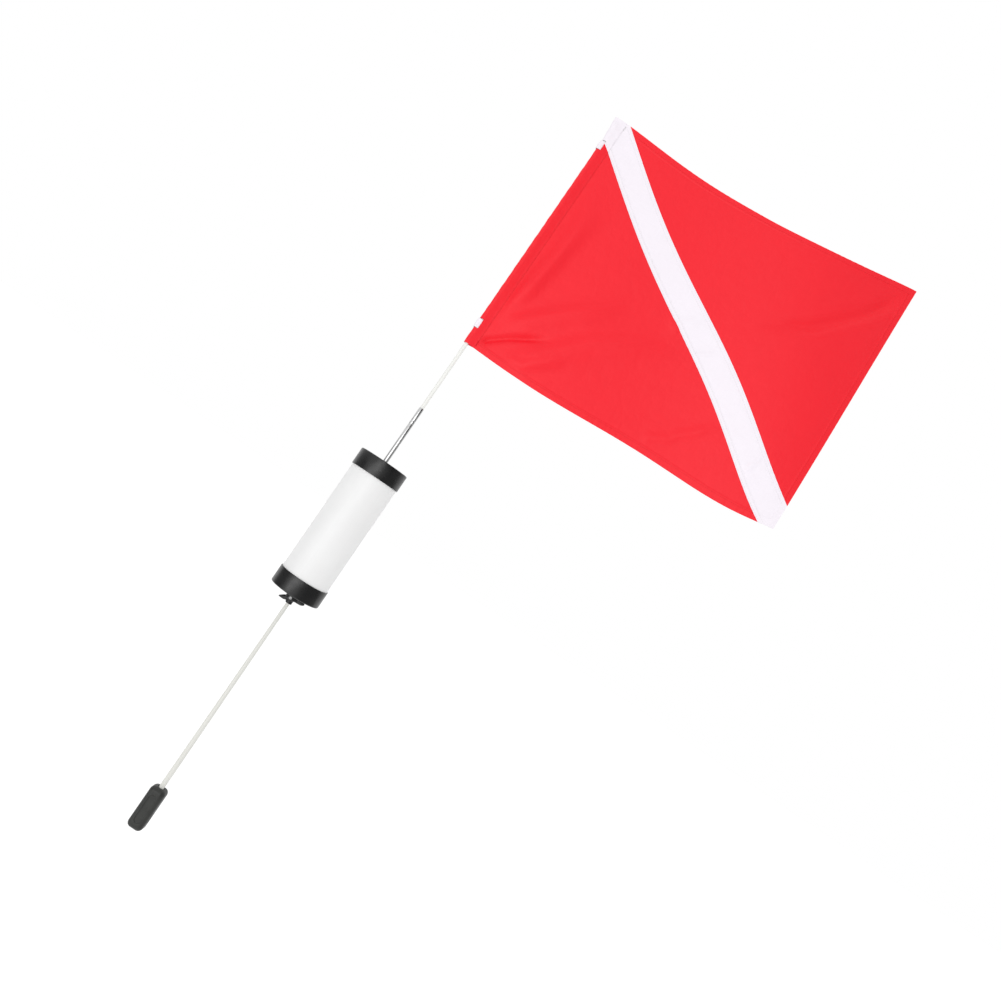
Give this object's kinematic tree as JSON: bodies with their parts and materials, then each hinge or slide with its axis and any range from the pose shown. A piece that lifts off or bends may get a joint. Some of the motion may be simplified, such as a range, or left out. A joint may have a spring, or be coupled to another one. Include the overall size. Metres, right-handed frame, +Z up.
{
  "type": "dive flag float",
  "caption": "Dive flag float: red flag with a white diagonal stripe on a mast that pulls out of a white tube float with black caps, above a weighted pole with a line cleat.",
  "frame": {"origin": "on the pole's axis at mid height of the float, which is about the waterline", "axes": "+Z up the pole towards the flag, +X the way the flag flies, -Y the side of the cleat's screw"},
  "size_m": [0.4814, 0.0666, 1.102],
  "materials": {
    "tube": "satin",
    "cap": "satin",
    "nylon": "satin",
    "steel": "satin",
    "pole_rod": "satin",
    "mast_rod": "satin",
    "vinyl": "matte",
    "slug": "matte",
    "red_cloth": "matte",
    "white_cloth": "matte"
  },
  "bodies": {
    "float": {"float_tube": "tube", "cap_upper": "cap", "cap_lower": "cap", "bushing_upper": "nylon", "bushing_lower": "nylon", "core_tube": "tube", "thrust_washer": "steel"},
    "pole": {"lower_rod": "pole_rod", "socket_tube": "steel", "line_cleat": "nylon", "cleat_screw": "steel", "weight_coat": "vinyl", "weight_slug": "slug"},
    "mast": {"upper_rod": "mast_rod", "mast_sleeve": "steel", "mast_tip": "vinyl"},
    "flag": {"flag_panel_lower": "red_cloth", "flag_stripe": "white_cloth", "flag_panel_upper": "red_cloth", "hoist_pocket": "red_cloth", "hoist_pocket_top": "white_cloth", "strap_lower": "white_cloth", "strap_upper": "white_cloth"}
  },
  "joints": [
    {"name": "pole_turn", "type": "hinge", "parent": "float", "child": "pole", "pos_m": [0, 0, 0], "axis": [0, 0, 1], "continuous": true},
    {"name": "mast_pull", "type": "slide", "parent": "pole", "child": "mast", "axis": [0, 0, 1], "range_m": [0, 0.036]},
    {"name": "flag_swing", "type": "hinge", "parent": "mast", "child": "flag", "pos_m": [0, 0, 0.45], "axis": [0, 0, 1], "continuous": true}
  ]
}
